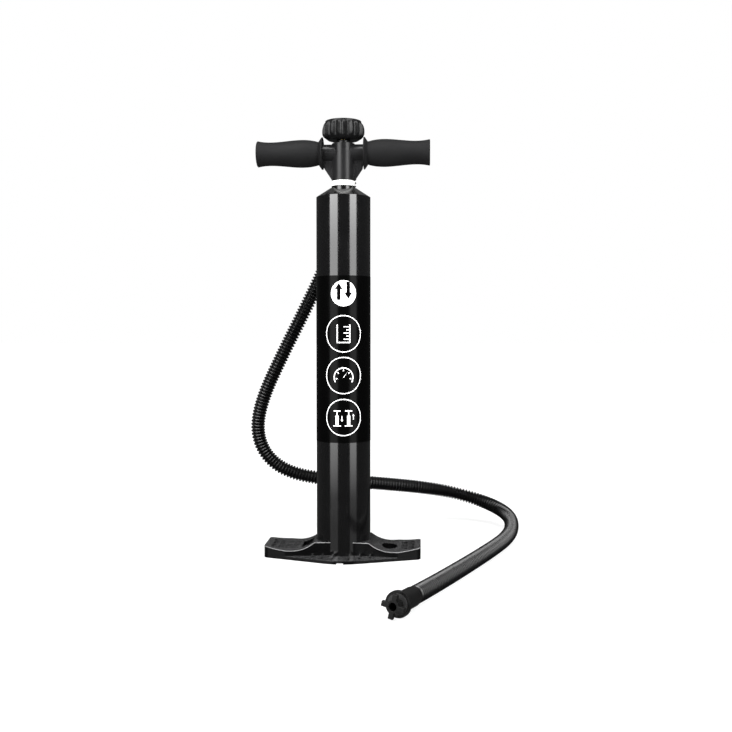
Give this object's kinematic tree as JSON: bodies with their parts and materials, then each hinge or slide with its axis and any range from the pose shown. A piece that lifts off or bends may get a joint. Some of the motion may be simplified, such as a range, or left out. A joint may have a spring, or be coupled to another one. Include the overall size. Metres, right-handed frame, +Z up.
{
  "type": "double action hand pump",
  "caption": "Floor-standing double action hand pump with a T-handle, ribbed gauge, footed base and a corrugated hose with a bayonet nozzle.",
  "frame": {"origin": "on the pump's centre line at floor level, under the foot", "axes": "+Z up along the barrel, -Y the label side, +X to the right seen from the label side, hose outlet towards +Y"},
  "size_m": [0.4398, 0.6045, 0.641],
  "materials": {
    "barrel_black": "gloss black",
    "moulded_black": "gloss moulded black",
    "handle_black": "satin moulded black",
    "label_print": "satin black film with white print",
    "bearing_white": "natural bearing plastic",
    "rod_bright": "bright polished",
    "grip_rubber": "matt black rubber",
    "seal_rubber": "smooth rubber",
    "hose_black": "corrugated black",
    "nozzle_black": "moulded black",
    "fixings_steel": "zinc plated",
    "stem_brass": "turned",
    "dial_white": "printed white",
    "needle_red": "red",
    "lens_clear": "clear"
  },
  "bodies": {
    "barrel": {"base_foot": "moulded_black", "base_plug": "moulded_black", "base_plug_ring": "seal_rubber", "base_screws": "fixings_steel", "inlet_valve_retainer": "moulded_black", "barrel_tube": "barrel_black", "label_film": "label_print", "top_cap": "moulded_black", "cap_ring": "seal_rubber", "rod_bush": "bearing_white", "rod_seal": "seal_rubber", "rod_seal_keeper": "moulded_black", "hose": "hose_black", "hose_cuff": "hose_black", "nozzle_body": "nozzle_black", "nozzle_gasket": "seal_rubber"},
    "plunger": {"piston_rod": "rod_bright", "piston_body": "bearing_white", "piston_cover": "bearing_white", "piston_screws": "fixings_steel", "piston_pin": "fixings_steel", "piston_lower_seal": "seal_rubber", "piston_upper_seal": "seal_rubber", "down_stroke_retainer": "moulded_black", "handle_body": "handle_black", "handle_cover": "handle_black", "handle_pin": "fixings_steel", "hub_screws": "fixings_steel", "left_grip": "grip_rubber", "right_grip": "grip_rubber", "hose_elbow": "handle_black"},
    "inlet_disc": {"inlet_valve_disc": "seal_rubber"},
    "down_stroke_disc": {"down_stroke_valve": "seal_rubber"},
    "up_stroke_ring": {"up_stroke_valve": "seal_rubber"},
    "gauge_thread": {"gauge_seal": "seal_rubber"},
    "gauge": {"gauge_housing": "handle_black", "gauge_stem": "stem_brass", "gauge_movement": "fixings_steel", "gauge_dial": "dial_white", "gauge_lens": "lens_clear", "gauge_bezel": "handle_black"},
    "needle": {"gauge_needle": "needle_red"}
  },
  "joints": [
    {"name": "handle_slide", "type": "slide", "parent": "barrel", "child": "plunger", "axis": [0, 0, 1], "range_m": [0, 0.48]},
    {"name": "inlet_disc_lift", "type": "slide", "parent": "barrel", "child": "inlet_disc", "axis": [0, 0, 1], "range_m": [0, 0.0016]},
    {"name": "down_stroke_lift", "type": "slide", "parent": "plunger", "child": "down_stroke_disc", "axis": [0, 0, 1], "range_m": [0, 0.0016]},
    {"name": "up_stroke_drop", "type": "slide", "parent": "plunger", "child": "up_stroke_ring", "axis": [0, 0, -1], "range_m": [0, 0.0016], "stiffness_N_per_m": 150, "springref_m": -0.001},
    {"name": "gauge_lift", "type": "slide", "parent": "plunger", "child": "gauge_thread", "axis": [0, 0, 1], "range_m": [0, 0.009]},
    {"name": "gauge_turn", "type": "hinge", "parent": "gauge_thread", "child": "gauge", "pos_m": [0, 0, 0.6135], "axis": [0, 0, 1], "range_deg": [0, 2160]},
    {"name": "needle_turn", "type": "hinge", "parent": "gauge", "child": "needle", "pos_m": [0, 0, 0.6375], "axis": [0, 0, -1], "range_deg": [0, 270], "stiffness_Nm_per_rad": 0.0002, "springref_deg": -11.46}
  ],
  "couplings": [
    {"joint": "gauge_lift", "follows": "gauge_turn", "m_per_rad": 0.00023873}
  ]
}
